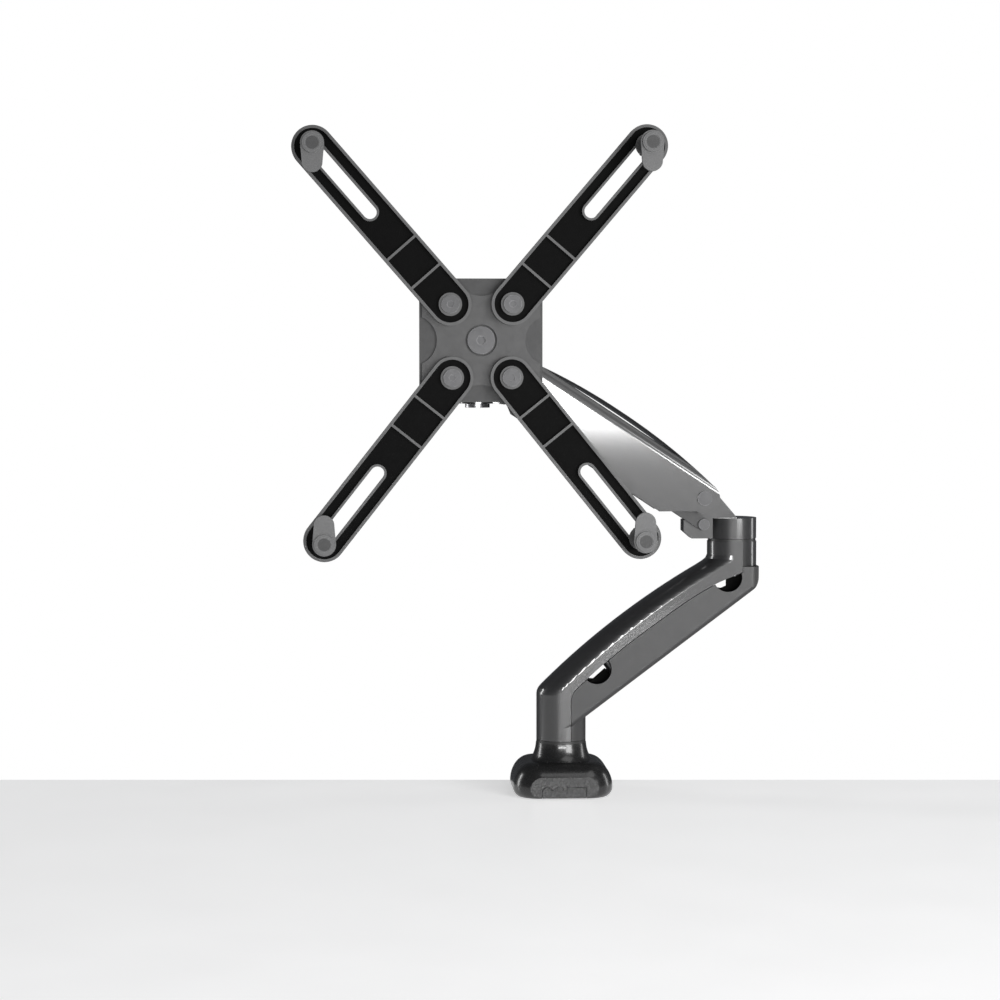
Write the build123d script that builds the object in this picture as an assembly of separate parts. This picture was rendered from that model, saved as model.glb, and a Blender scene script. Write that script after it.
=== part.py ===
"""Desk monitor arm with a clip-on frame for screens that have no rear fixing holes.

Millimetres, +Z up. The origin is the swivel axis on the desk surface, +X points
along the rigid riser and -Y points at the person using the screen.
"""

import os
from math import atan2, cos, degrees, hypot, radians, sin

from build123d import *

os.makedirs("parts", exist_ok=True)

# Base and swivel post
CORE = 22.0  # half side of the square the base plan is rounded around
BASE_HALF = 48.5
BASE_SHOULDER = 33.5
BASE_WIDEST = 9.0
BASE_FOOT = 0.6
BASE_WALL = 2.5
FACET_Y = -46.0
NECK_R = 24.6
NECK_FLARE_R = 30.5
NECK_TOP = 50.0
SPINDLE_POST_R = 16.0
SPINDLE_R = 12.0
SPINDLE_TOP = 97.0
RING_H = 2.6
PAD_H = 1.5
PLATE_H = 4.0
PLATE_BACK = 76.0
PLATE_SCREW_X = 22.0
PLATE_SCREW_IN = 6.0

# Desk clamp
DESK = 30.0
CLAMP_X = 32.0
CLAMP_BACK_T = 4.0
CLAMP_DROP = 92.0
JAW_X = 24.0
JAW_T = 5.0
SCREW_Y = 34.0
CLAMP_SCREW_R = 6.0
CLAMP_PAD_R = 17.0
HANDLE_R = 4.0
HANDLE_REACH = 30.0

# Riser
HALF_W = 24.2  # half width, and the radius of its rounded back
RISER_BOTTOM = 53.0
RISER_TOP = 247.0
REACH = 168.0
WALL = 3.0
BACK_KNEE = ((97.5, 0.0), (100.5, 0.4), (103.5, 1.8), (106.5, 4.3), (110.1, 7.9))
BACK_MID = (169.6, 76.4)
BACK_HIGH = (223.5, 156.8)
BACK_NECK = ((227.0, 162.4), (230.2, 166.4), (234.0, 168.0), (249.0, 168.0))
BACK_STEPS = 16
UNDER_X = 23.9
UNDER_Z = 78.0
UNDER_SLOPE = 0.7508
UNDER_R = 20.0
RIGHT_X = 192.6
COVER_TOP = 223.0
SEAM_X = 7.9
SEAM_LOW = (19.9, 111.1)
SEAM_RUN = ((48.5, 136.4), (97.8, 173.6), (147.2, 205.4))
SEAM_HIGH = (175.5, 217.8)
SEAM_GAP = 0.65
PORTS = ((33.1, 123.5, 14.4), (161.1, 212.4, 14.0))
RIB_DROP = 9.8
RIB_HALF = 1.25
BEARING_R = 15.0
BEARING_TUBE_R = 18.0
BEARING_TOP = 96.5
ELBOW_BEARING_R = 13.0
ELBOW_BOSS_R = 17.0
ELBOW_BOSS_BOTTOM = 216.0
ELBOW_PIN_LOW = 213.0
SCREW_POSTS = (62.0, 128.0)
POST_TOP = 52.5
CAVITY_SHIFT = 2.8

# Elbow
ELBOW_R = 24.0
ELBOW_Z = 250.0
ELBOW_H = 20.0
ELBOW_PIN_R = 10.0
BLOCK_X = 119.0
CHEEK_Y = 12.5
SLOT_Y = 6.0
FIT = 0.05

# Spring arm, drawn in its own frame: x along the arm, z square to it
PIVOT_X = 138.0
PIVOT_Z = 290.0
LINK_DROP = 26.0
ARM_L = 230.0
ARM_RISE = 33.4
ARM_HALF_W = 24.0
ARM_IN_W = 21.0
ARM_END_R = 15.0
ARM_DEPTH = 35.0
PIN_R = 4.0
GAS_DROP = 13.0
GAS_AT = 185.0
GAS_R = 9.0
ROD_R = 4.0
GAS_PIN_R = 3.0
GAS_EYE_BORE = 4.7

# Wrist and head
WRIST_X = -82.0
WRIST_R = 19.0
WRIST_LOW = 382.0
WRIST_TOP = 427.0
WRIST_PIN_R = 8.0
TILT_Y = -40.0
HEAD_Z = 443.0
VESA_HALF = 58.5
VESA_BACK = -62.0
VESA_T = 3.0
HUB_FRONT = -68.0
HUB_BOLT_R = 8.0

# Clip-on frame
ARM_BACK = -71.8
ARM_FRONT = -80.2
FRAME_R = 20.0
FRAME_IN = 45.0
FRAME_OUT = 240.5
CLIP_TRAVEL = 80.0
SLOT_R = 6.5
POST_R = 6.0
HOOK_FRONT = -126.0
HOOK_T = 5.0
HOOK_R = 11.0
TIP_R = 9.5
TIP_REACH = 27.0
KNOB_R = 9.3
ANGLES = {"tl": 131.2, "tr": 49.6, "bl": 231.8, "br": -51.2}


def prism_y(sketch, y0, y1):
    """Solid of a sketch drawn in X and Z, from y0 to y1."""
    return extrude(Plane.XZ.offset(-y1) * sketch, y1 - y0, dir=(0, -1, 0))


def prism_z(sketch, z0, z1):
    """Solid of a sketch drawn in X and Y, from z0 to z1."""
    return extrude(Pos(0, 0, z0) * sketch, z1 - z0, dir=(0, 0, 1))


def box(x0, x1, y0, y1, z0, z1):
    middle = ((x0 + x1) / 2, (y0 + y1) / 2, (z0 + z1) / 2)
    return Pos(*middle) * Box(x1 - x0, y1 - y0, z1 - z0)


def cyl_z(x, y, z0, z1, r):
    return Pos(x, y, (z0 + z1) / 2) * Cylinder(r, z1 - z0)


def cyl_y(x, z, y0, y1, r):
    return Pos(x, (y0 + y1) / 2, z) * Rot(90, 0, 0) * Cylinder(r, y1 - y0)


def cyl_x(y, z, x0, x1, r):
    return Pos((x0 + x1) / 2, y, z) * Rot(0, 90, 0) * Cylinder(r, x1 - x0)


def ring_z(x, y, z0, z1, r_out, r_in):
    return cyl_z(x, y, z0, z1, r_out) - cyl_z(x, y, z0 - 1, z1 + 1, r_in)


def hex_z(x, y, z0, z1, r):
    return prism_z(Pos(x, y) * RegularPolygon(r, 6), z0, z1)


def hex_y(x, z, y0, y1, r):
    return prism_y(Pos(x, z) * RegularPolygon(r, 6), y0, y1)


def loop(*points):
    return make_face(Polyline(*points, close=True))


def pads(x0, x1, y0, y1, z0, z1, r):
    """Flat block with rounded vertical corners."""
    plan = Pos((x0 + x1) / 2, (y0 + y1) / 2) * RectangleRounded(x1 - x0, y1 - y0, r)
    return prism_z(plan, z0, z1)


def save(node, shape):
    shape.label = node
    export_step(shape, f"parts/{node}.step")


def group(*solids):
    return Compound(children=[solid for shape in solids for solid in shape.solids()])


# ---------------------------------------------------------------- base


def dome(inset, foot):
    """Rounded square dome, its wall moved in by inset and its foot at height foot."""
    r = BASE_HALF - CORE - inset
    top = BASE_SHOULDER - inset
    across = 19.0
    tuck = 4.5
    up = top - BASE_WIDEST

    def half(core):
        rim = core + r
        edges = [
            Line((0, foot), (rim - tuck, foot)),
            ThreePointArc((rim - tuck, foot), (rim - 0.3 * tuck, 0.4 * (foot + BASE_WIDEST)), (rim, BASE_WIDEST)),
            EllipticalCenterArc((rim - across, BASE_WIDEST), across, up, 0, arc_size=90),
            Line((rim - across, top), (0, top)),
            Line((0, top), (0, foot)),
        ]
        return make_face(edges)

    corner = Pos(CORE, CORE) * revolve(Plane.XZ * half(0.0), Axis.Z, 360)
    side = prism_y(half(CORE), 0, CORE)
    front = Rot(0, 0, 90) * prism_y(half(CORE), -CORE, 0)
    quarter = corner + side + front
    half_dome = quarter + mirror(quarter, Plane.YZ)
    return half_dome + mirror(half_dome, Plane.XZ)


def door_outline(grow):
    low = Pos(-0.3, 4.8) * Rectangle(42.1 + 2 * grow, 7.6 + 2 * grow)
    high = Pos(11.7, 6.25) * Rectangle(18.2 + 2 * grow, 10.5 + 2 * grow)
    outline = low + high
    for x in (-17.0, -5.7):
        outline += Pos(x, 7.1) * Circle(4.4 + grow)
    return outline


def base_cover():
    neck = make_face([
        Line((SPINDLE_POST_R + 2, BASE_SHOULDER - 2), (NECK_FLARE_R + 2.0, BASE_SHOULDER - 2)),
        Line((NECK_FLARE_R + 2.0, BASE_SHOULDER - 2), (NECK_FLARE_R, BASE_SHOULDER - 0.2)),
        Spline((NECK_FLARE_R, BASE_SHOULDER - 0.2), (27.4, 38.0), (NECK_R + 0.9, 43.5), (NECK_R, NECK_TOP)),
        Line((NECK_R, NECK_TOP), (SPINDLE_POST_R + 2, NECK_TOP)),
        Line((SPINDLE_POST_R + 2, NECK_TOP), (SPINDLE_POST_R + 2, BASE_SHOULDER - 2)),
    ])
    shell = dome(0.0, BASE_FOOT) - box(-60, 60, -60, FACET_Y, -5, 60)
    shell -= dome(BASE_WALL, 0.0) - box(-60, 60, -60, FACET_Y + BASE_WALL, -5, 60)
    shell -= cyl_z(0, 0, 20, 60, NECK_R - 2)
    shell += revolve(Plane.XZ * neck, Axis.Z, 360)
    shell -= prism_y(door_outline(0.6), -60, FACET_Y + BASE_WALL + 1)
    shell -= box(-38, 38, 30, 60, -1, PAD_H + PLATE_H + 0.6)
    return shell


def cable_door():
    door = prism_y(door_outline(0.0), FACET_Y + 0.4, FACET_Y + BASE_WALL + 0.4)
    latch = box(-10, 10, FACET_Y + BASE_WALL + 0.4, FACET_Y + BASE_WALL + 4.4, 3, 5)
    return door + latch


def base_plate():
    plate = pads(-37, 37, -36, PLATE_BACK, PAD_H, PAD_H + PLATE_H, 12)
    for x in (-PLATE_SCREW_X, PLATE_SCREW_X):
        plate -= cyl_z(x, PLATE_BACK - PLATE_SCREW_IN, 0, 10, 3.0)
    return plate


def base_pad():
    return pads(-35, 35, -34, PLATE_BACK - 4, 0, PAD_H, 12)


def base_spindle():
    low = PAD_H + PLATE_H
    flange = cyl_z(0, 0, low, low + 4, 26)
    return flange + cyl_z(0, 0, low, NECK_TOP, SPINDLE_POST_R) + cyl_z(0, 0, NECK_TOP, SPINDLE_TOP, SPINDLE_R)


def spindle_cap():
    return cyl_z(0, 0, SPINDLE_TOP, SPINDLE_TOP + 3, 13.5) + hex_z(0, 0, SPINDLE_TOP + 3, SPINDLE_TOP + 7, 6.5)


def base_ring():
    return ring_z(0, 0, NECK_TOP, NECK_TOP + RING_H, NECK_R - 0.4, SPINDLE_POST_R + 2)


def clamp_bracket():
    top = PAD_H + PLATE_H
    back = box(-CLAMP_X, CLAMP_X, PLATE_BACK, PLATE_BACK + CLAMP_BACK_T, -CLAMP_DROP, top + CLAMP_BACK_T)
    flange = box(-CLAMP_X, CLAMP_X, PLATE_BACK - 13, PLATE_BACK, top, top + CLAMP_BACK_T)
    bracket = fillet((back + flange).edges().filter_by(Axis.Y).group_by(Axis.Z)[0], 8)
    for x in (-PLATE_SCREW_X, PLATE_SCREW_X):
        bracket -= cyl_z(x, PLATE_BACK - PLATE_SCREW_IN, 0, 20, 3.0)
    for z in (-68, -82):
        bracket -= cyl_y(0, z, 50, 100, 4.0)
    return bracket


def clamp_jaw():
    bottom = -CLAMP_DROP - 1.0 - JAW_T
    back = PLATE_BACK + CLAMP_BACK_T
    shelf = pads(-JAW_X, JAW_X, 10, back + 4, bottom, bottom + JAW_T, 6)
    tab = box(-JAW_X, JAW_X, back, back + 4, bottom, -56)
    jaw = shelf + tab + cyl_z(0, SCREW_Y, bottom - 8, bottom, 11)
    for z in (-68, -82):
        jaw -= cyl_y(0, z, 50, 100, 4.0)
    return jaw - cyl_z(0, SCREW_Y, bottom - 20, bottom + 20, CLAMP_SCREW_R + FIT)


def clamp_bolts():
    back = PLATE_BACK + CLAMP_BACK_T + 4
    bolts = []
    for z in (-68, -82):
        bolts.append(cyl_y(0, z, PLATE_BACK, back, 3.95) + hex_y(0, z, back, back + 5, 6.5))
    return group(*bolts)


def plate_screws():
    top = PAD_H + PLATE_H + CLAMP_BACK_T
    y = PLATE_BACK - PLATE_SCREW_IN
    screws = []
    for x in (-PLATE_SCREW_X, PLATE_SCREW_X):
        head = cyl_z(x, y, top, top + 2.6, 5.2) - hex_z(x, y, top + 1, top + 3, 2.3)
        screws.append(head + cyl_z(x, y, PAD_H, top, 2.95))
    return group(*screws)


def clamp_pad():
    top = -DESK - 2.0
    dish = cyl_z(0, SCREW_Y, top - 5, top, CLAMP_PAD_R) + cyl_z(0, SCREW_Y, top - 12, top - 5, 9)
    return dish - cyl_z(0, SCREW_Y, top - 13, top - 3, CLAMP_SCREW_R - 1.0 + FIT)


def clamp_pad_rubber():
    return cyl_z(0, SCREW_Y, -DESK - 2.0, -DESK, CLAMP_PAD_R - 0.5)


def clamp_screw():
    tip = -DESK - 5.4
    shank_top = -DESK - 15.0
    low = -138.0
    screw = cyl_z(0, SCREW_Y, shank_top, tip, CLAMP_SCREW_R - 1.0) + cyl_z(0, SCREW_Y, low + 12, shank_top, CLAMP_SCREW_R)
    screw += cyl_z(0, SCREW_Y, low, low + 14, 9)
    return screw - cyl_x(SCREW_Y, low + 6.5, -20, 20, HANDLE_R)


def clamp_handle():
    z = -138.0 + 6.5
    bar = cyl_x(SCREW_Y, z, -HANDLE_REACH, HANDLE_REACH, HANDLE_R - 0.05)
    for x in (-HANDLE_REACH, HANDLE_REACH):
        bar += Pos(x, SCREW_Y, z) * Sphere(5.4)
    return bar


# ---------------------------------------------------------------- riser


def back_section(x, z, r, reach):
    """Section across the riser at height z: a half circle on the back, flat sides."""
    edges = [
        ThreePointArc((x, r), (x - r, 0), (x, -r)),
        Line((x, -r), (x + reach, -r)),
        Line((x + reach, -r), (x + reach, r)),
        Line((x + reach, r), (x, r)),
    ]
    return Pos(0, 0, z) * make_face(edges)


def back_run():
    """Height and axis position of each section up the riser's curved back."""
    low_z, low_x = BACK_KNEE[-1]
    arc = ThreePointArc((low_x, low_z), BACK_MID[::-1], BACK_HIGH[::-1])
    curve = [(point.Y, point.X) for point in (arc @ (step / BACK_STEPS) for step in range(1, BACK_STEPS + 1))]
    return [(52.0, 0.0), *BACK_KNEE, *curve, *BACK_NECK]


def back_sweep(shift, r):
    """The riser's rounded back followed up its curve, with r as its half width."""
    return loft([back_section(x + shift, z, r, 80.0) for z, x in back_run()], ruled=True)


def under_z(x):
    return UNDER_Z + UNDER_SLOPE * (x - UNDER_X)


def side_outline(inset):
    """Side view of the riser above its lower edge, moved in by inset."""
    slope = atan2(UNDER_SLOPE, 1.0)
    lift = inset / cos(slope)
    right = RIGHT_X - inset
    r = UNDER_R - inset
    centre = (right - r, under_z(right - r) + lift + r / cos(slope))
    touch = (centre[0] + r * sin(slope), centre[1] - r * cos(slope))
    half = slope / 2
    middle = (centre[0] + r * cos(-0.78 + half), centre[1] + r * sin(-0.78 + half))
    start = (-60.0, under_z(-60.0) + lift)
    edges = [
        Line(start, touch),
        ThreePointArc(touch, middle, (right, centre[1])),
        Line((right, centre[1]), (right, 300.0)),
        Line((right, 300.0), (-60.0, 300.0)),
        Line((-60.0, 300.0), start),
    ]
    return make_face(edges)


def casting_region():
    """Everything on the casting's side of the seam, in side view."""
    edges = [
        Line((-80, 20), (SEAM_X, 20)),
        Line((SEAM_X, 20), (SEAM_X, 94.0)),
        Spline((SEAM_X, 94.0), (11.6, 103.0), SEAM_LOW, tangents=((0, 1), (0.74, 0.67))),
        Spline(SEAM_LOW, *SEAM_RUN, SEAM_HIGH, tangents=((0.74, 0.67), (0.92, 0.39))),
        Line(SEAM_HIGH, (SEAM_HIGH[0], 300)),
        Line((SEAM_HIGH[0], 300), (-80, 300)),
        Line((-80, 300), (-80, 20)),
    ]
    return make_face(edges)


def under_rounding(half, r):
    """Long bar along the lower edge whose two lower corners are rounded."""
    slope = atan2(UNDER_SLOPE, 1.0)
    along = (cos(slope), 0, sin(slope))
    up = (-sin(slope), 0, cos(slope))
    start = Vector(UNDER_X, 0, UNDER_Z) - Vector(*along) * 120
    plane = Plane(origin=start, x_dir=up, z_dir=along)
    bar = Pos(150, 0) * RectangleRounded(300, 2 * half, r)
    return extrude(plane * bar, 420, dir=along)


def riser_body():
    """Outside of the whole riser, casting and cover together."""
    body = back_sweep(0.0, HALF_W) & prism_y(side_outline(0.0), -30, 30)
    body &= box(-60, 300, -40, 40, 60, RISER_TOP)
    body &= under_rounding(HALF_W, 4.5)
    plan = Pos(RIGHT_X - 150, 0) * RectangleRounded(300, 2 * HALF_W, 9.0)
    body &= prism_z(plan, 0, 300)
    return body + cyl_z(0, 0, RISER_BOTTOM, 98.0, HALF_W)


def screw_post(x, r, low, high):
    """Round bar square to the lower edge at x, from low to high above that edge."""
    slope = atan2(UNDER_SLOPE, 1.0)
    up = Vector(-sin(slope), 0, cos(slope))
    foot = Vector(x, 0, under_z(x)) + up * low
    return extrude(Plane(origin=foot, z_dir=up) * Circle(r), high - low)


def riser_casting(body):
    cavity = back_sweep(CAVITY_SHIFT, HALF_W - WALL) & box(-60, 300, -30, 30, 98.5, 204)
    shell = (body & prism_y(casting_region(), -30, 30)) - cavity
    shell += cyl_z(0, 0, RISER_BOTTOM, BEARING_TOP, BEARING_TUBE_R)
    shell += cyl_z(REACH, 0, ELBOW_BOSS_BOTTOM, RISER_TOP, ELBOW_BOSS_R)
    boss = cyl_z(REACH, 0, COVER_TOP + 0.4, RISER_TOP, HALF_W)
    shell += boss & box(REACH, REACH + 40, -30, 30, 200, 260)
    for x in SCREW_POSTS:
        shell += screw_post(x, 5.0, WALL + 0.4, POST_TOP)
        shell -= screw_post(x, 1.9, 0, 24.0)
    shell -= cyl_z(0, 0, 40, 99, BEARING_R)
    return shell - cyl_z(REACH, 0, 200, 260, ELBOW_BEARING_R)


def riser_cover(body):
    keep_off = Pos(SEAM_GAP * 0.7, 0, -SEAM_GAP * 0.7) * prism_y(casting_region(), -40, 40)
    outer = (body - keep_off) & box(-60, 300, -40, 40, RISER_BOTTOM, COVER_TOP)
    hollow = prism_y(side_outline(WALL), -(HALF_W - WALL), HALF_W - WALL)
    cover = outer - (hollow + cyl_z(0, 0, 40, 110, HALF_W - WALL))
    for x, z, r in PORTS:
        cover -= cyl_y(x, z, -40, -2, r)
        cover -= cyl_y(x, z, 2, 40, r)
    for x in SCREW_POSTS:
        cover -= screw_post(x, 2.1, -2, 10)
        cover -= screw_post(x, 3.9, -2, 1.6)
    return cover


def cable_rib():
    """Thin rib on the cover's floor that keeps the cables on the two sides apart."""
    rib = prism_y(side_outline(WALL + 0.1), -RIB_HALF, RIB_HALF) & box(27, 187, -5, 5, 60, ELBOW_PIN_LOW - 0.6)
    low = Pos(0, 0, -RIB_DROP) * prism_y(casting_region(), -5, 5)
    rib -= low & box(20, 162.5, -5, 5, 60, 250)
    rib -= Pos(0, 0, -1.0) * prism_y(casting_region(), -5, 5)
    for x in SCREW_POSTS:
        rib -= screw_post(x, 6.0, 0, 80)
    return rib


def riser_screws():
    screws = []
    for x in SCREW_POSTS:
        head = screw_post(x, 3.7, 0.3, 1.6) - screw_post(x, 1.6, 0.0, 1.1)
        screws.append(head + screw_post(x, 1.85, 1.5, 20.0))
    return group(*screws)


def base_bushes():
    bore = SPINDLE_R + FIT
    return group(ring_z(0, 0, 53.6, 61.6, BEARING_R - 0.05, bore), ring_z(0, 0, 88, 96, BEARING_R - 0.05, bore))


def elbow_bushes():
    bore = ELBOW_PIN_R + FIT
    rim = ELBOW_BEARING_R - 0.05
    low = ELBOW_BOSS_BOTTOM + 0.6
    return group(ring_z(REACH, 0, low, low + 8.4, rim, bore), ring_z(REACH, 0, 238, 246.4, rim, bore))


def elbow_ring():
    return ring_z(REACH, 0, RISER_TOP, RISER_TOP + RING_H, ELBOW_R - 0.6, 16.0)


# ---------------------------------------------------------------- elbow


def elbow_knuckle():
    body = cyl_z(REACH, 0, ELBOW_Z, ELBOW_Z + ELBOW_H, ELBOW_R)
    block = loop((BLOCK_X + 8, ELBOW_Z), (REACH, ELBOW_Z), (REACH, 268), (BLOCK_X, 268), (BLOCK_X, ELBOW_Z + 7))
    body += prism_y(block, -CHEEK_Y, CHEEK_Y)
    cheek = loop((126, 262), (176, 262), (170, 272), (147, 299), (129, 299))
    cheek += Pos(PIVOT_X, PIVOT_Z) * Circle(12)
    body += prism_y(cheek, -CHEEK_Y, CHEEK_Y)
    body -= box(100, 152, -SLOT_Y, SLOT_Y, 266, 310)
    body -= box(100, 132, -SLOT_Y, SLOT_Y, 257, 310)
    body -= cyl_z(REACH, 0, 200, 268, ELBOW_PIN_R)
    body -= cyl_y(PIVOT_X, PIVOT_Z, -30, 30, PIN_R)
    body -= cyl_y(PIVOT_X, PIVOT_Z - LINK_DROP, -30, 30, PIN_R)
    return body - cyl_y(PIVOT_X, PIVOT_Z - GAS_DROP, -30, 30, GAS_PIN_R)


def elbow_spindle():
    pin = cyl_z(REACH, 0, ELBOW_PIN_LOW + 1, 268, ELBOW_PIN_R - 0.02)
    return pin + cyl_z(REACH, 0, ELBOW_PIN_LOW, ELBOW_PIN_LOW + 2.8, 11.5)


def pivot_pin(x, z, half, head):
    pin = cyl_y(x, z, -half, half, PIN_R - 0.02)
    return pin + cyl_y(x, z, half, half + 2, head) + cyl_y(x, z, -half - 2, -half, head)


def elbow_pins():
    upper = pivot_pin(PIVOT_X, PIVOT_Z, ARM_HALF_W + 0.4, 7.0)
    lower = pivot_pin(PIVOT_X, PIVOT_Z - LINK_DROP, 17.4, 5.4)
    gas = cyl_y(PIVOT_X, PIVOT_Z - GAS_DROP, -CHEEK_Y, CHEEK_Y, GAS_PIN_R - 0.02)
    return group(upper, lower, gas)


# ---------------------------------------------------------------- spring arm

RISE = radians(ARM_RISE)
ARM_FRAME = Plane(origin=(PIVOT_X, 0, PIVOT_Z), x_dir=(-cos(RISE), 0, sin(RISE)), z_dir=(sin(RISE), 0, cos(RISE)))
LINK_FRAME = Plane(
    origin=(PIVOT_X, 0, PIVOT_Z - LINK_DROP), x_dir=(-cos(RISE), 0, sin(RISE)), z_dir=(sin(RISE), 0, cos(RISE))
)


def spring_arm_shell():
    outline = make_face([
        ThreePointArc((0, ARM_END_R), (ARM_L / 2, 26), (ARM_L, ARM_END_R)),
        Line((ARM_L, ARM_END_R), (ARM_L, -ARM_END_R)),
        Line((ARM_L, -ARM_END_R), (200, -ARM_DEPTH)),
        Line((200, -ARM_DEPTH), (30, -ARM_DEPTH)),
        Line((30, -ARM_DEPTH), (0, -ARM_END_R)),
        Line((0, -ARM_END_R), (0, ARM_END_R)),
    ])
    for x in (0, ARM_L):
        outline += Pos(x, 0) * Circle(ARM_END_R)
    body = prism_y(outline, -ARM_HALF_W, ARM_HALF_W)
    section = Plane.YZ.offset(-40) * Pos(0, -74) * RectangleRounded(2 * ARM_HALF_W, 200, 15)
    body &= extrude(section, 320, dir=(1, 0, 0))
    body -= prism_y(
        make_face([
            ThreePointArc((-60, 10), (ARM_L / 2, 22.5), (ARM_L + 60, 10)),
            Line((ARM_L + 60, 10), (ARM_L + 60, -80)),
            Line((ARM_L + 60, -80), (-60, -80)),
            Line((-60, -80), (-60, 10)),
        ]),
        -ARM_IN_W,
        ARM_IN_W,
    )
    body -= box(-60, -2, -ARM_IN_W, ARM_IN_W, -60, 60)
    body -= box(ARM_L - 5, 300, -ARM_IN_W, ARM_IN_W, -60, 60)
    body += box(200, 204, -ARM_IN_W, ARM_IN_W, -10, 18)
    body -= cyl_x(0, 0, 190, 215, 3 + FIT)
    for x in (0, ARM_L):
        body += cyl_y(x, 0, 13, ARM_IN_W, 9) + cyl_y(x, 0, -ARM_IN_W, -13, 9)
        body -= cyl_y(x, 0, -30, 30, PIN_R + FIT)
    body -= cyl_y(GAS_AT, 0, -30, 30, GAS_PIN_R + 0.02)
    return ARM_FRAME * body


def spring_arm_cover():
    low = -ARM_DEPTH
    tray = pads(52, 184, -20.6, 20.6, low, low + 1.8, 6)
    for side in (-1, 1):
        lip = box(60, 176, side * 20.6 - (1.6 if side > 0 else 0), side * 20.6 + (0 if side > 0 else 1.6), low, low + 6)
        tray += lip
    return ARM_FRAME * tray


def tension_block():
    block = box(179, 196, -20.6, 20.6, -7, 7) - box(170, 192.5, -5.8, 5.8, -10, 10)
    block += cyl_y(GAS_AT, 0, -ARM_HALF_W + 0.3, ARM_HALF_W - 0.3, GAS_PIN_R)
    return ARM_FRAME * (block - cyl_x(0, 0, 190, 215, 3 + FIT))


def tension_screw():
    head = cyl_x(0, 0, 204.4, 209.4, 5.5) - extrude(Plane.YZ.offset(206.4) * RegularPolygon(2.9, 6), 5, dir=(1, 0, 0))
    return ARM_FRAME * (head + cyl_x(0, 0, 193, 204.4, 3))


def parallel_link():
    bar = Pos(ARM_L / 2, 0) * SlotCenterToCenter(ARM_L, 12)
    link = prism_y(bar, 13.0, 16.8) + prism_y(bar, -16.8, -13.0)
    link += box(38, 192, -14, 14, -6.0, -4.0)
    for x in (0, ARM_L):
        link -= cyl_y(x, 0, -30, 30, PIN_R + FIT)
    return LINK_FRAME * link


def gas_frame():
    """Frame at the gas strut's arm end, x pointing down the strut to the elbow pin."""
    top = Vector(PIVOT_X - GAS_AT * cos(RISE), 0, PIVOT_Z + GAS_AT * sin(RISE))
    pin = Vector(PIVOT_X, 0, PIVOT_Z - GAS_DROP)
    return Plane(origin=top, x_dir=pin - top, z_dir=Vector(0, 1, 0).cross(top - pin))


def gas_cylinder():
    body = cyl_x(0, 0, 12, 104, GAS_R) + cyl_x(0, 0, 2, 14, 5) + cyl_y(0, 0, -5, 5, 6.3)
    body += cyl_x(0, 0, 104, 108, 7.0)
    body -= cyl_x(0, 0, 20, 120, ROD_R + FIT)
    return gas_frame() * (body - cyl_y(0, 0, -10, 10, GAS_PIN_R + FIT))


def gas_rod():
    length = hypot(GAS_AT * cos(RISE), GAS_AT * sin(RISE) + GAS_DROP)
    rod = cyl_x(0, 0, 44, length - 5, ROD_R) + cyl_x(0, 0, length - 22, length - 5, 5)
    rod += cyl_y(length, 0, -5, 5, 7.2)
    return gas_frame() * (rod - cyl_y(length, 0, -10, 10, GAS_EYE_BORE))


# ---------------------------------------------------------------- wrist and head

TIP_X = PIVOT_X - ARM_L * cos(RISE)
TIP_Z = PIVOT_Z + ARM_L * sin(RISE)


def wrist_knuckle():
    body = cyl_z(WRIST_X, 0, WRIST_LOW, WRIST_TOP, WRIST_R)
    web = loop((WRIST_X, WRIST_LOW + 2), (TIP_X - 2, WRIST_LOW - 1), (TIP_X + 6, 390), (TIP_X + 8, 420), (TIP_X, 427), (WRIST_X, 427))
    web += Pos(TIP_X, TIP_Z) * Circle(12)
    web += Pos(TIP_X, TIP_Z - LINK_DROP) * Circle(9.5)
    body += prism_y(web, -CHEEK_Y, CHEEK_Y)
    body -= cyl_z(WRIST_X, 0, 360, 440, WRIST_PIN_R + FIT)
    body -= cyl_y(TIP_X, TIP_Z, -30, 30, PIN_R)
    return body - cyl_y(TIP_X, TIP_Z - LINK_DROP, -30, 30, PIN_R)


def wrist_pins():
    upper = pivot_pin(TIP_X, TIP_Z, ARM_HALF_W + 0.4, 7.0)
    return group(upper, pivot_pin(TIP_X, TIP_Z - LINK_DROP, 17.4, 5.4))


def wrist_ring():
    return ring_z(WRIST_X, 0, WRIST_TOP, WRIST_TOP + 2, WRIST_R - 0.6, 10.0)


def wrist_spindle():
    pin = cyl_z(WRIST_X, 0, WRIST_LOW - 3, 446, WRIST_PIN_R)
    return pin + cyl_z(WRIST_X, 0, WRIST_LOW - 4, WRIST_LOW - 0.5, 12)


def head_yoke():
    low = WRIST_TOP + 2.4
    body = cyl_z(WRIST_X, 0, low, 451, WRIST_R)
    side = Plane.YZ * (Pos(TILT_Y / 2, (low + 451) / 2) * Rectangle(-TILT_Y, 451 - low))
    side += Plane.YZ * (Pos(TILT_Y, HEAD_Z) * Circle(10.5))
    body += Pos(WRIST_X - 13, 0, 0) * extrude(side, 26, dir=(1, 0, 0))
    body -= box(WRIST_X - 8, WRIST_X + 8, -60, -24, 400, 470)
    body -= box(WRIST_X - 20, WRIST_X + 20, -26, 30, 451, 470)
    body -= cyl_x(TILT_Y, HEAD_Z, WRIST_X - 30, WRIST_X + 30, 4)
    return body - cyl_z(WRIST_X, 0, 420, 446, WRIST_PIN_R + 0.02)


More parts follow.
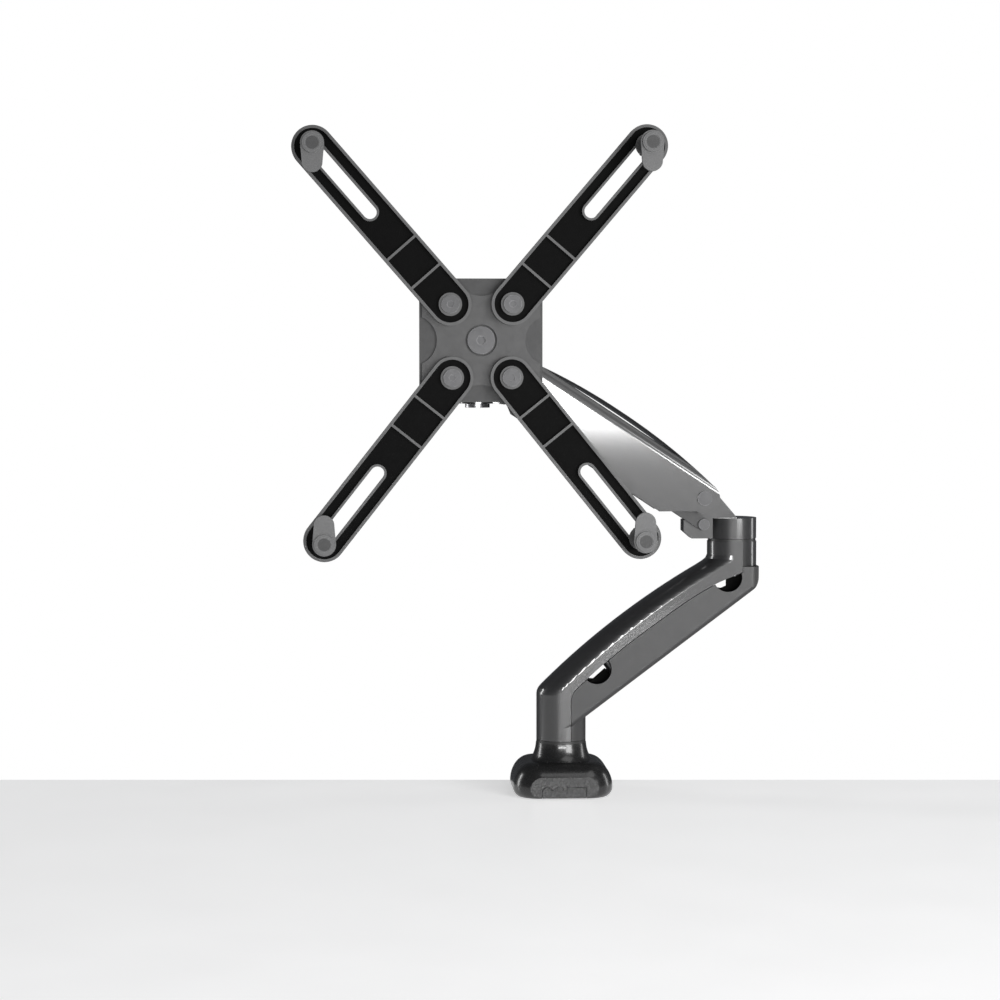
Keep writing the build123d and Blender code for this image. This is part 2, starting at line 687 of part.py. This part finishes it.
def tilt_bolt():
    bolt = cyl_x(TILT_Y, HEAD_Z, WRIST_X - 16, WRIST_X + 13, 3.95)
    bolt += cyl_x(TILT_Y, HEAD_Z, WRIST_X + 13, WRIST_X + 18, 7.0)
    nut = extrude(Plane.YZ * Pos(TILT_Y, HEAD_Z) * RegularPolygon(7.5, 6), 5, dir=(1, 0, 0))
    socket = extrude(Plane.YZ * Pos(TILT_Y, HEAD_Z) * RegularPolygon(3.4, 6), 4, dir=(1, 0, 0))
    return bolt + Pos(WRIST_X - 18, 0, 0) * nut - Pos(WRIST_X + 15, 0, 0) * socket


def tilt_block():
    body = cyl_x(TILT_Y, HEAD_Z, WRIST_X - 7.6, WRIST_X + 7.6, 9.5)
    body += box(WRIST_X - 7.6, WRIST_X + 7.6, -58, TILT_Y, HEAD_Z - 8, HEAD_Z + 8)
    body += cyl_y(WRIST_X, HEAD_Z, VESA_BACK + 0.4, -56, 24)
    body -= cyl_x(TILT_Y, HEAD_Z, WRIST_X - 20, WRIST_X + 20, 4 + FIT)
    return body - cyl_y(WRIST_X, HEAD_Z, -70, -50, 6)


def rotation_bolt():
    bolt = cyl_y(WRIST_X, HEAD_Z, VESA_BACK + 0.4, -50, 5.98)
    bolt += cyl_y(WRIST_X, HEAD_Z, VESA_BACK - VESA_T - 0.4, VESA_BACK + 0.4, HUB_BOLT_R)
    bolt += cyl_y(WRIST_X, HEAD_Z, -68.4, VESA_BACK - VESA_T - 0.4, 13)
    return bolt - hex_y(WRIST_X, HEAD_Z, -69, -66, 4.6)


def vesa_plate():
    plan = RectangleRounded(2 * VESA_HALF, 2 * VESA_HALF, 9)
    for pitch in (75, 100):
        for x in (-pitch / 2, pitch / 2):
            for z in (-pitch / 2, pitch / 2):
                plan -= Pos(x, z) * Circle(2.6)
    for turn in range(4):
        plan -= Rot(0, 0, 90 * turn) * Pos(0, 36) * SlotCenterToCenter(22, 9)
    plate = Pos(WRIST_X, 0, HEAD_Z) * prism_y(plan, VESA_BACK - VESA_T, VESA_BACK)
    return plate - cyl_y(WRIST_X, HEAD_Z, -80, -50, HUB_BOLT_R + FIT)


# ---------------------------------------------------------------- clip-on frame


def frame_place(corner):
    return Pos(WRIST_X, 0, HEAD_Z) * Rot(0, -ANGLES[corner], 0)


def adapter_hub():
    plan = RectangleRounded(112, 112, 14)
    for turn in range(4):
        plan -= Rot(0, 0, 90 * turn) * Pos(0, 66) * Circle(24)
    plan -= Circle(15)
    for x in (-50, 50):
        for z in (-50, 50):
            plan -= Pos(x, z) * Circle(2.6)
    hub = Pos(WRIST_X, 0, HEAD_Z) * prism_y(plan, HUB_FRONT, VESA_BACK - VESA_T)
    for corner in ANGLES:
        boss = cyl_y(FRAME_IN, 0, ARM_BACK + 0.4, HUB_FRONT, 12)
        hub += frame_place(corner) * boss
        hub -= frame_place(corner) * cyl_y(FRAME_IN, 0, -90, -60, PIN_R)
    return hub


def hub_screws():
    screws = []
    for x in (-50, 50):
        for z in (-50, 50):
            head = cyl_y(WRIST_X + x, HEAD_Z + z, HUB_FRONT - 2.6, HUB_FRONT, 4.6)
            head -= hex_y(WRIST_X + x, HEAD_Z + z, HUB_FRONT - 3, HUB_FRONT - 1.2, 2.2)
            screws.append(head + cyl_y(WRIST_X + x, HEAD_Z + z, HUB_FRONT, -60, 2.5))
    return group(*screws)


def arm_pivot_bolts():
    bolts = []
    for corner in ANGLES:
        bolt = cyl_y(FRAME_IN, 0, ARM_FRONT - 0.4, -66, PIN_R - 0.02)
        bolt += cyl_y(FRAME_IN, 0, ARM_FRONT - 3.0, ARM_FRONT - 0.4, 8.5)
        bolt -= hex_y(FRAME_IN, 0, ARM_FRONT - 4, ARM_FRONT - 1.4, 3.4)
        bolts.append(frame_place(corner) * bolt)
    return group(*bolts)


def stadium(x0, x1, r):
    return Pos((x0 + x1) / 2, 0) * SlotCenterToCenter(x1 - x0, 2 * r)


def adapter_arm(corner):
    """Slotted arm: a raised rim, a sunk channel and a lip around the slot."""
    inner = FRAME_OUT - CLIP_TRAVEL - 1.0
    arm = prism_y(stadium(FRAME_IN, FRAME_OUT, FRAME_R), ARM_FRONT, ARM_BACK)
    sunk = stadium(FRAME_IN, FRAME_OUT, FRAME_R - 2.8) - stadium(inner, FRAME_OUT, SLOT_R + 2.2)
    sunk -= Pos(FRAME_IN, 0) * Circle(11)
    for x in (80, 115):
        sunk -= Pos(x, 0) * Rectangle(2.4, 60)
    arm -= prism_y(sunk, ARM_FRONT - 1, ARM_FRONT + 5)
    arm -= prism_y(stadium(inner, FRAME_OUT, SLOT_R), -100, -60)
    return frame_place(corner) * (arm - cyl_y(FRAME_IN, 0, -90, -60, PIN_R + FIT))


def clip_centre(corner):
    turn = radians(ANGLES[corner])
    return WRIST_X + FRAME_OUT * cos(turn), HEAD_Z + FRAME_OUT * sin(turn)


def clip_post(corner):
    x, z = clip_centre(corner)
    post = cyl_y(x, z, HOOK_FRONT - 2.4, ARM_BACK + 4, POST_R)
    post += cyl_y(x, z, ARM_FRONT - 3.4, ARM_FRONT - 0.4, 11)
    return post + hex_y(x, z, ARM_BACK + 0.4, ARM_BACK + 5, 10)


def hook(corner):
    """Tongue that reaches over the screen's edge, with a short sleeve on the post."""
    x, z = clip_centre(corner)
    way = -1 if corner in ("tl", "tr") else 1
    tip = way * (TIP_REACH - TIP_R)
    outline = Circle(HOOK_R) + Pos(0, tip) * Circle(TIP_R)
    outline += loop((-HOOK_R, 0), (HOOK_R, 0), (TIP_R, tip), (-TIP_R, tip))
    tongue = Pos(x, 0, z) * prism_y(outline, HOOK_FRONT, HOOK_FRONT + HOOK_T)
    tongue += cyl_y(x, z, HOOK_FRONT + HOOK_T, HOOK_FRONT + HOOK_T + 6, 9.3)
    return tongue - cyl_y(x, z, -150, -90, POST_R + FIT)


def knob(corner):
    x, z = clip_centre(corner)
    disc = cyl_y(x, z, HOOK_FRONT - 2.6, HOOK_FRONT - 0.4, KNOB_R)
    rim = cyl_y(x, z, HOOK_FRONT - 3.0, HOOK_FRONT - 1.8, KNOB_R - 1.6)
    rim -= cyl_y(x, z, HOOK_FRONT - 4.0, HOOK_FRONT - 2.6, KNOB_R - 2.6)
    return disc + rim - cyl_y(x, z, HOOK_FRONT - 5.0, HOOK_FRONT + 1.0, POST_R + FIT)


def main():
    body = riser_body()
    save("riser_casting", riser_casting(body))
    save("riser_cover", riser_cover(body))
    for make in (
        base_cover, cable_door, base_plate, base_pad, base_spindle, spindle_cap, base_ring,
        clamp_bracket, clamp_jaw, clamp_bolts, plate_screws,
        clamp_pad, clamp_pad_rubber, clamp_screw, clamp_handle,
        cable_rib, riser_screws, base_bushes, elbow_bushes, elbow_ring,
        elbow_knuckle, elbow_spindle, elbow_pins,
        spring_arm_shell, spring_arm_cover, tension_block, tension_screw,
        parallel_link, gas_cylinder, gas_rod,
        wrist_knuckle, wrist_pins, wrist_ring, wrist_spindle,
        head_yoke, tilt_bolt, tilt_block, rotation_bolt,
        vesa_plate, adapter_hub, hub_screws, arm_pivot_bolts,
    ):
        save(make.__name__, make())
    for corner in ANGLES:
        save(f"adapter_arm_{corner}", adapter_arm(corner))
        save(f"clip_post_{corner}", clip_post(corner))
        save(f"hook_{corner}", hook(corner))
        save(f"knob_{corner}", knob(corner))


main()
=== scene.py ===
import math

import bmesh
import bpy
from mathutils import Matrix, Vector


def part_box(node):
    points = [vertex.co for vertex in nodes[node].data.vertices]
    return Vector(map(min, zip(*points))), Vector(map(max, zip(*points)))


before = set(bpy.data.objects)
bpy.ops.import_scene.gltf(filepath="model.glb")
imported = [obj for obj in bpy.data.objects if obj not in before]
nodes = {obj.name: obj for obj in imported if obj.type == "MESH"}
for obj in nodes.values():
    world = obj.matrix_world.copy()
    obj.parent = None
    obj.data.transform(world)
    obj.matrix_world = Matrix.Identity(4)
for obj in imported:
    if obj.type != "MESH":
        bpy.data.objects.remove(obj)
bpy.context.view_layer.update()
scene = bpy.context.scene

CORNERS = ("tl", "tr", "bl", "br")


# ---------------------------------------------------------------- material nodes


def new_material(name):
    mat = bpy.data.materials.new(name)
    mat.use_nodes = True
    return mat, mat.node_tree.nodes, mat.node_tree.links


def noise(ns, ln, coord, scale, detail, rough, stretch=(1, 1, 1)):
    mapping = ns.new("ShaderNodeMapping")
    mapping.inputs["Scale"].default_value = stretch
    ln.new(coord, mapping.inputs["Vector"])
    tex = ns.new("ShaderNodeTexNoise")
    tex.inputs["Scale"].default_value = scale
    tex.inputs["Detail"].default_value = detail
    tex.inputs["Roughness"].default_value = rough
    ln.new(mapping.outputs[0], tex.inputs["Vector"])
    return tex.outputs["Fac"]


def remap(ns, ln, value, low, high, to_low, to_high):
    node = ns.new("ShaderNodeMapRange")
    node.inputs["From Min"].default_value = low
    node.inputs["From Max"].default_value = high
    node.inputs["To Min"].default_value = to_low
    node.inputs["To Max"].default_value = to_high
    ln.new(value, node.inputs["Value"])
    return node.outputs["Result"]


def mix_colour(ns, ln, fac, a, b):
    node = ns.new("ShaderNodeMix")
    node.data_type = "RGBA"
    ln.new(fac, node.inputs["Factor"])
    for socket, value in ((node.inputs["A"], a), (node.inputs["B"], b)):
        if isinstance(value, tuple):
            socket.default_value = (*value, 1.0)
        else:
            ln.new(value, socket)
    return node.outputs["Result"]


def math_node(ns, ln, operation, a, b):
    """Sum or product of two values, either of which may be a number, clamped to 0..1."""
    node = ns.new("ShaderNodeMath")
    node.operation = operation
    node.use_clamp = True
    for socket, value in ((node.inputs[0], a), (node.inputs[1], b)):
        if isinstance(value, (int, float)):
            socket.default_value = value
        else:
            ln.new(value, socket)
    return node.outputs[0]


def blend_values(ns, ln, a, share_a, b, share_b):
    first = math_node(ns, ln, "MULTIPLY", a, share_a)
    second = math_node(ns, ln, "MULTIPLY", b, share_b)
    return math_node(ns, ln, "ADD", first, second)


def edge_mask(ns, ln, radius):
    """1 along edges within radius, 0 on open faces."""
    bevel = ns.new("ShaderNodeBevel")
    bevel.samples = 4
    bevel.inputs["Radius"].default_value = radius
    geometry = ns.new("ShaderNodeNewGeometry")
    dot = ns.new("ShaderNodeVectorMath")
    dot.operation = "DOT_PRODUCT"
    ln.new(bevel.outputs[0], dot.inputs[0])
    ln.new(geometry.outputs["Normal"], dot.inputs[1])
    return remap(ns, ln, dot.outputs["Value"], 0.995, 0.86, 0.0, 1.0)


def bump_surface(ns, ln, shader, height, distance):
    bump = ns.new("ShaderNodeBump")
    bump.inputs["Distance"].default_value = distance
    bump.inputs["Strength"].default_value = 1.0
    ln.new(height, bump.inputs["Height"])
    ln.new(bump.outputs[0], shader.inputs["Normal"])


# ---------------------------------------------------------------- materials

BROAD_SCALE = 22.0
MIDDLE_SCALE = 160.0
GRAIN_GLOSS = 0.03
WEAR_WIDTH = 0.0009
COAT_ROUGH = 0.08


def grey(value, blue=0.0):
    return (value, value, value + blue)


def finish_material(
    name, dark, light, rough, grain, grain_depth,
    rough_spread=0.03, specular=0.5, metallic=0.0, coat=0.0, orange=0.0,
    wear=None, wear_amount=0.0,
):
    """Painted or moulded surface: colour and gloss vary at two scales, with grain and worn edges."""
    mat, ns, ln = new_material(name)
    shader = ns["Principled BSDF"]
    coord = ns.new("ShaderNodeTexCoord").outputs["Object"]
    broad = noise(ns, ln, coord, BROAD_SCALE, 4.0, 0.6)
    fine = noise(ns, ln, coord, grain, 2.0, 0.6)
    middle = noise(ns, ln, coord, MIDDLE_SCALE, 5.0, 0.65)

    tone = blend_values(ns, ln, broad, 0.55, fine, 0.45)
    colour = mix_colour(ns, ln, remap(ns, ln, tone, 0.3, 0.7, 0.0, 1.0), dark, light)
    if wear:
        patches = remap(ns, ln, middle, 0.42, 0.62, 0.0, wear_amount)
        rub = math_node(ns, ln, "MULTIPLY", edge_mask(ns, ln, WEAR_WIDTH), patches)
        colour = mix_colour(ns, ln, rub, colour, wear)
    ln.new(colour, shader.inputs["Base Color"])

    patchy = remap(ns, ln, middle, 0.3, 0.7, rough - rough_spread, rough + rough_spread)
    grainy = remap(ns, ln, fine, 0.3, 0.7, -GRAIN_GLOSS, GRAIN_GLOSS)
    ln.new(math_node(ns, ln, "ADD", patchy, grainy), shader.inputs["Roughness"])
    shader.inputs["Metallic"].default_value = metallic
    shader.inputs["Specular IOR Level"].default_value = specular
    shader.inputs["Coat Weight"].default_value = coat
    shader.inputs["Coat Roughness"].default_value = COAT_ROUGH

    height = blend_values(ns, ln, fine, 1.0 - orange, middle, orange) if orange else fine
    bump_surface(ns, ln, shader, height, grain_depth)
    return mat


def brushed_material(name, dark, light, rough, axis, ring=False):
    """Turned or drawn steel, its lines running along axis, or round it when ring is set."""
    mat, ns, ln = new_material(name)
    shader = ns["Principled BSDF"]
    coord = ns.new("ShaderNodeTexCoord").outputs["Object"]
    along = [1.0, 1.0, 1.0]
    along["XYZ".index(axis)] = 30.0 if ring else 0.02
    lines = noise(ns, ln, coord, 60.0 if ring else 900.0, 3.0, 0.6, tuple(along))
    broad = noise(ns, ln, coord, 60.0, 4.0, 0.6)
    tone = blend_values(ns, ln, lines, 0.6, broad, 0.4)
    colour = mix_colour(ns, ln, remap(ns, ln, tone, 0.32, 0.68, 0.0, 1.0), dark, light)
    ln.new(colour, shader.inputs["Base Color"])
    gloss = remap(ns, ln, tone, 0.3, 0.7, rough + 0.09, rough - 0.07)
    ln.new(gloss, shader.inputs["Roughness"])
    shader.inputs["Metallic"].default_value = 1.0
    bump_surface(ns, ln, shader, lines, 0.00003)
    return mat


WORN = grey(0.17, 0.005)
WORN_BOLT = grey(0.3, 0.01)

CASTING = finish_material(
    "casting_paint", grey(0.014), grey(0.020, 0.001), 0.38, 1300.0, 0.00001,
    wear=WORN, wear_amount=0.15, coat=1.0,
)
COVER = finish_material(
    "cover_moulding", grey(0.025), grey(0.030, 0.001), 0.46, 1700.0, 0.00002,
    wear=WORN, wear_amount=0.2,
)
GLOSS = finish_material(
    "base_gloss", grey(0.008), grey(0.012), 0.27, 2200.0, 0.000008,
    wear=WORN, wear_amount=0.2, coat=0.35, rough_spread=0.04,
)
FRAME_PAINT = finish_material(
    "frame_paint", grey(0.016), grey(0.022, 0.001), 0.42, 1500.0, 0.00002,
    wear=WORN, wear_amount=0.15,
)
ARM_PAINT = finish_material(
    "arm_paint", grey(0.036), grey(0.044, 0.001), 0.42, 1500.0, 0.00002,
    wear=WORN, wear_amount=0.15,
)
HOOK = finish_material(
    "hook_moulding", grey(0.062, 0.001), grey(0.085, 0.001), 0.42, 1900.0, 0.00005,
    wear=WORN, wear_amount=0.25,
)
PLATE = finish_material(
    "plate_coating", grey(0.016), grey(0.026, 0.001), 0.5, 1200.0, 0.00004,
    wear=WORN, wear_amount=0.45, orange=0.35,
)
RUBBER = finish_material(
    "rubber", grey(0.016), grey(0.030), 0.78, 900.0, 0.00012,
    orange=0.4, specular=0.3,
)
# painted shade: near-black matt block behind the cable ports stands in for the shadow inside the cover
RIB_SHADE = finish_material("rib_black", grey(0.002), grey(0.005), 0.7, 1500.0, 0.00003, specular=0.1)
WASHER = finish_material("washer", grey(0.012), grey(0.020), 0.38, 1500.0, 0.00003)
BUSH = finish_material("acetal", (0.62, 0.60, 0.56), (0.74, 0.72, 0.68), 0.38, 1500.0, 0.00003)
BOLT = finish_material(
    "bolt_black", grey(0.030, 0.001), grey(0.060, 0.002), 0.36, 1400.0, 0.00003,
    metallic=0.6, wear=WORN_BOLT, wear_amount=0.5,
)
STEEL_Z = brushed_material("steel_turned_z", grey(0.34, 0.01), grey(0.52, 0.01), 0.32, "Z", ring=True)
STEEL_X = brushed_material("steel_drawn_x", grey(0.36, 0.01), grey(0.56, 0.01), 0.28, "X")

# painted shade: near-black colour and dull specular laid into the arms' recessed channel
CHANNEL_SHADE_BLACK = grey(0.002)
CHANNEL_SPECULAR = 0.03
RIM_DEPTH = (0.0007, 0.0012)
CHANNEL_FLOOR = (0.0054, 0.0058)


def paint_channel_shade(mat, node):
    """The recessed channel inside the rim of the slotted arms is painted near-black with dulled
    specular: painted shade in the recess.
    """
    ns, ln = mat.node_tree.nodes, mat.node_tree.links
    shader = ns["Principled BSDF"]
    rim = min(vertex.co.y for vertex in nodes[node].data.vertices)
    axes = ns.new("ShaderNodeSeparateXYZ")
    ln.new(ns.new("ShaderNodeTexCoord").outputs["Object"], axes.inputs[0])
    depth = axes.outputs["Y"]
    behind_rim = remap(ns, ln, depth, rim + RIM_DEPTH[0], rim + RIM_DEPTH[1], 0.0, 1.0)
    before_back = remap(ns, ln, depth, rim + CHANNEL_FLOOR[0], rim + CHANNEL_FLOOR[1], 1.0, 0.0)
    # mask of the recessed channel, where the painted shade goes
    shaded_channel = math_node(ns, ln, "MULTIPLY", behind_rim, before_back)
    socket = shader.inputs["Base Color"]
    ln.new(mix_colour(ns, ln, shaded_channel, socket.links[0].from_socket, CHANNEL_SHADE_BLACK), socket)
    dull = remap(ns, ln, shaded_channel, 0.0, 1.0, 0.5, CHANNEL_SPECULAR)
    ln.new(dull, shader.inputs["Specular IOR Level"])


paint_channel_shade(ARM_PAINT, "adapter_arm_tl")

MADE_OF = (
    (GLOSS, ("base_cover", "cable_door")),
    (PLATE, (
        "base_plate", "clamp_bracket", "clamp_jaw", "clamp_pad", "tension_block",
        "parallel_link", "gas_cylinder", "vesa_plate",
    )),
    (CASTING, (
        "riser_casting", "elbow_knuckle", "spring_arm_shell", "wrist_knuckle",
        "head_yoke", "tilt_block",
    )),
    (COVER, ("riser_cover", "spring_arm_cover")),
    (FRAME_PAINT, ("adapter_hub",)),
    (RIB_SHADE, ("cable_rib",)),
    (RUBBER, ("base_pad", "clamp_pad_rubber")),
    (WASHER, ("base_ring", "elbow_ring", "wrist_ring")),
    (BUSH, ("base_bushes", "elbow_bushes")),
    (STEEL_Z, ("base_spindle", "spindle_cap", "clamp_screw", "elbow_spindle", "wrist_spindle")),
    (STEEL_X, ("clamp_handle", "gas_rod")),
    (BOLT, (
        "clamp_bolts", "plate_screws", "riser_screws", "elbow_pins", "tension_screw",
        "wrist_pins", "tilt_bolt", "rotation_bolt", "hub_screws", "arm_pivot_bolts",
    )),
)
FINISH = {node: mat for mat, group in MADE_OF for node in group}
for corner in CORNERS:
    FINISH[f"adapter_arm_{corner}"] = ARM_PAINT
    FINISH[f"clip_post_{corner}"] = PLATE
    FINISH[f"hook_{corner}"] = HOOK
    FINISH[f"knob_{corner}"] = HOOK


# ---------------------------------------------------------------- softened edges

BEVELS = {
    "riser_casting": 0.0009, "riser_cover": 0.0007, "base_cover": 0.0006, "cable_door": 0.0003,
    "elbow_knuckle": 0.0010, "spring_arm_shell": 0.0012, "spring_arm_cover": 0.0005,
    "wrist_knuckle": 0.0010, "head_yoke": 0.0010, "tilt_block": 0.0008,
    "vesa_plate": 0.0004, "adapter_hub": 0.0004, "clamp_bracket": 0.0005, "clamp_jaw": 0.0005,
    "parallel_link": 0.0004, "gas_cylinder": 0.0006, "clamp_pad": 0.0008, "base_plate": 0.0004,
}
for corner in CORNERS:
    BEVELS[f"adapter_arm_{corner}"] = 0.0006
    BEVELS[f"hook_{corner}"] = 0.0012
    BEVELS[f"knob_{corner}"] = 0.0004
SHARP_ANGLE = math.radians(35)


def soften(obj, width):
    bevel = obj.modifiers.new("edge", "BEVEL")
    bevel.width = width
    bevel.segments = 3
    bevel.limit_method = "ANGLE"
    bevel.angle_limit = SHARP_ANGLE
    bevel.harden_normals = False
    bevel.miter_outer = "MITER_ARC"


for name, obj in nodes.items():
    mat = FINISH[name]
    if not obj.material_slots:
        obj.data.materials.append(mat)
    for entry in obj.material_slots:
        entry.material = mat
    if name in BEVELS:
        soften(obj, BEVELS[name])


# ---------------------------------------------------------------- desk

CAMERA_TURN = -3.5  # degrees; the desk's far edge is square to the view
DESK_HALF = 1.8
DESK_FRONT = -1.9
DESK_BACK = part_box("clamp_bracket")[1].y - 0.0065
DESK_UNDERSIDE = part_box("clamp_pad_rubber")[1].z + 0.0004
DESK_GLOW = 0.5


def desk_material():
    mat, ns, ln = new_material("desk_white")
    shader = ns["Principled BSDF"]
    coord = ns.new("ShaderNodeTexCoord").outputs["Object"]
    soft = noise(ns, ln, coord, 9.0, 3.0, 0.5)
    ln.new(mix_colour(ns, ln, soft, grey(0.80), grey(0.84)), shader.inputs["Base Color"])
    ln.new(remap(ns, ln, soft, 0.3, 0.7, 0.35, 0.42), shader.inputs["Roughness"])
    shader.inputs["Emission Color"].default_value = (1.0, 1.0, 1.0, 1.0)
    shader.inputs["Emission Strength"].default_value = DESK_GLOW
    return mat


def desk():
    """Plain slab between the base and the clamp pad."""
    turn = math.radians(CAMERA_TURN)
    plan = (
        (-DESK_HALF, DESK_FRONT), (DESK_HALF, DESK_FRONT), (DESK_HALF, 0.0), (-DESK_HALF, 0.0),
    )
    verts = [
        (x * math.cos(turn) - y * math.sin(turn), DESK_BACK + x * math.sin(turn) + y * math.cos(turn), z)
        for z in (DESK_UNDERSIDE, 0.0)
        for x, y in plan
    ]
    faces = [(0, 3, 2, 1), (4, 5, 6, 7), (0, 1, 5, 4), (1, 2, 6, 5), (2, 3, 7, 6), (3, 0, 4, 7)]
    mesh = bpy.data.meshes.new("desk_top")
    mesh.from_pydata(verts, [], faces)
    bm = bmesh.new()
    bm.from_mesh(mesh)
    bmesh.ops.recalc_face_normals(bm, faces=bm.faces)
    bm.to_mesh(mesh)
    bm.free()
    obj = bpy.data.objects.new("desk_top", mesh)
    scene.collection.objects.link(obj)
    obj.data.materials.append(desk_material())
    edge = obj.modifiers.new("edge", "BEVEL")
    edge.width = 0.002
    edge.segments = 3


desk()


# ---------------------------------------------------------------- light

FOCUS = (0.06, 0.0, 0.22)
FILL_STRENGTH = 0.07


def softbox(name, location, target, width, height, power):
    data = bpy.data.lights.new(name, "AREA")
    data.shape = "RECTANGLE"
    data.size = width
    data.size_y = height
    data.energy = power
    obj = bpy.data.objects.new(name, data)
    scene.collection.objects.link(obj)
    obj.location = location
    aim = Vector(target) - obj.location
    obj.rotation_euler = aim.to_track_quat("-Z", "Y").to_euler()
    return obj


def studio_world():
    """White backdrop for the camera, and a faint fill for everything else."""
    world = bpy.data.worlds.new("studio")
    scene.world = world
    world.use_nodes = True
    ns = world.node_tree.nodes
    ln = world.node_tree.links
    ns.clear()
    seen = ns.new("ShaderNodeBackground")
    seen.inputs["Color"].default_value = (1, 1, 1, 1)
    seen.inputs["Strength"].default_value = 1.0
    fill = ns.new("ShaderNodeBackground")
    fill.inputs["Color"].default_value = (0.9, 0.93, 1.0, 1)
    fill.inputs["Strength"].default_value = FILL_STRENGTH
    ray = ns.new("ShaderNodeLightPath")
    choose = ns.new("ShaderNodeMixShader")
    out = ns.new("ShaderNodeOutputWorld")
    ln.new(ray.outputs["Is Camera Ray"], choose.inputs[0])
    ln.new(fill.outputs[0], choose.inputs[1])
    ln.new(seen.outputs[0], choose.inputs[2])
    ln.new(choose.outputs[0], out.inputs[0])


softbox("front_box", (1.6, -2.6, 0.62), FOCUS, 1.4, 1.1, 66.0)
softbox("line_strip", (0.05, -3.05, 0.34), FOCUS, 1.8, 0.16, 34.0)
softbox("desk_box", (0.75, -1.5, 1.9), (0.1, -0.9, 0.0), 1.5, 1.2, 9.0)
softbox("back_box", (0.5, 2.6, 0.5), FOCUS, 1.6, 0.8, 7.0).visible_glossy = False
softbox("left_rim", (-2.4, 0.9, 0.55), FOCUS, 0.45, 1.5, 16.0)
softbox("right_rim", (2.6, 0.6, 0.6), FOCUS, 0.5, 1.5, 10.0)
studio_world()
scene.view_settings.view_transform = "Standard"


# ---------------------------------------------------------------- camera

CAMERA_AT = (-0.2166, -2.561, 0.4338)
CAMERA_PITCH = -3.26
FOCAL_PX = 2632.0
PICTURE_PX = 1000.0
SENSOR = 36.0

camera_data = bpy.data.cameras.new("camera")
camera_data.sensor_width = SENSOR
camera_data.lens = FOCAL_PX * SENSOR / PICTURE_PX
camera_data.clip_start = 0.05
camera_data.clip_end = 30.0
camera = bpy.data.objects.new("camera", camera_data)
scene.collection.objects.link(camera)
camera.location = CAMERA_AT
camera.rotation_euler = (math.radians(90.0 + CAMERA_PITCH), 0.0, math.radians(CAMERA_TURN))
scene.camera = camera
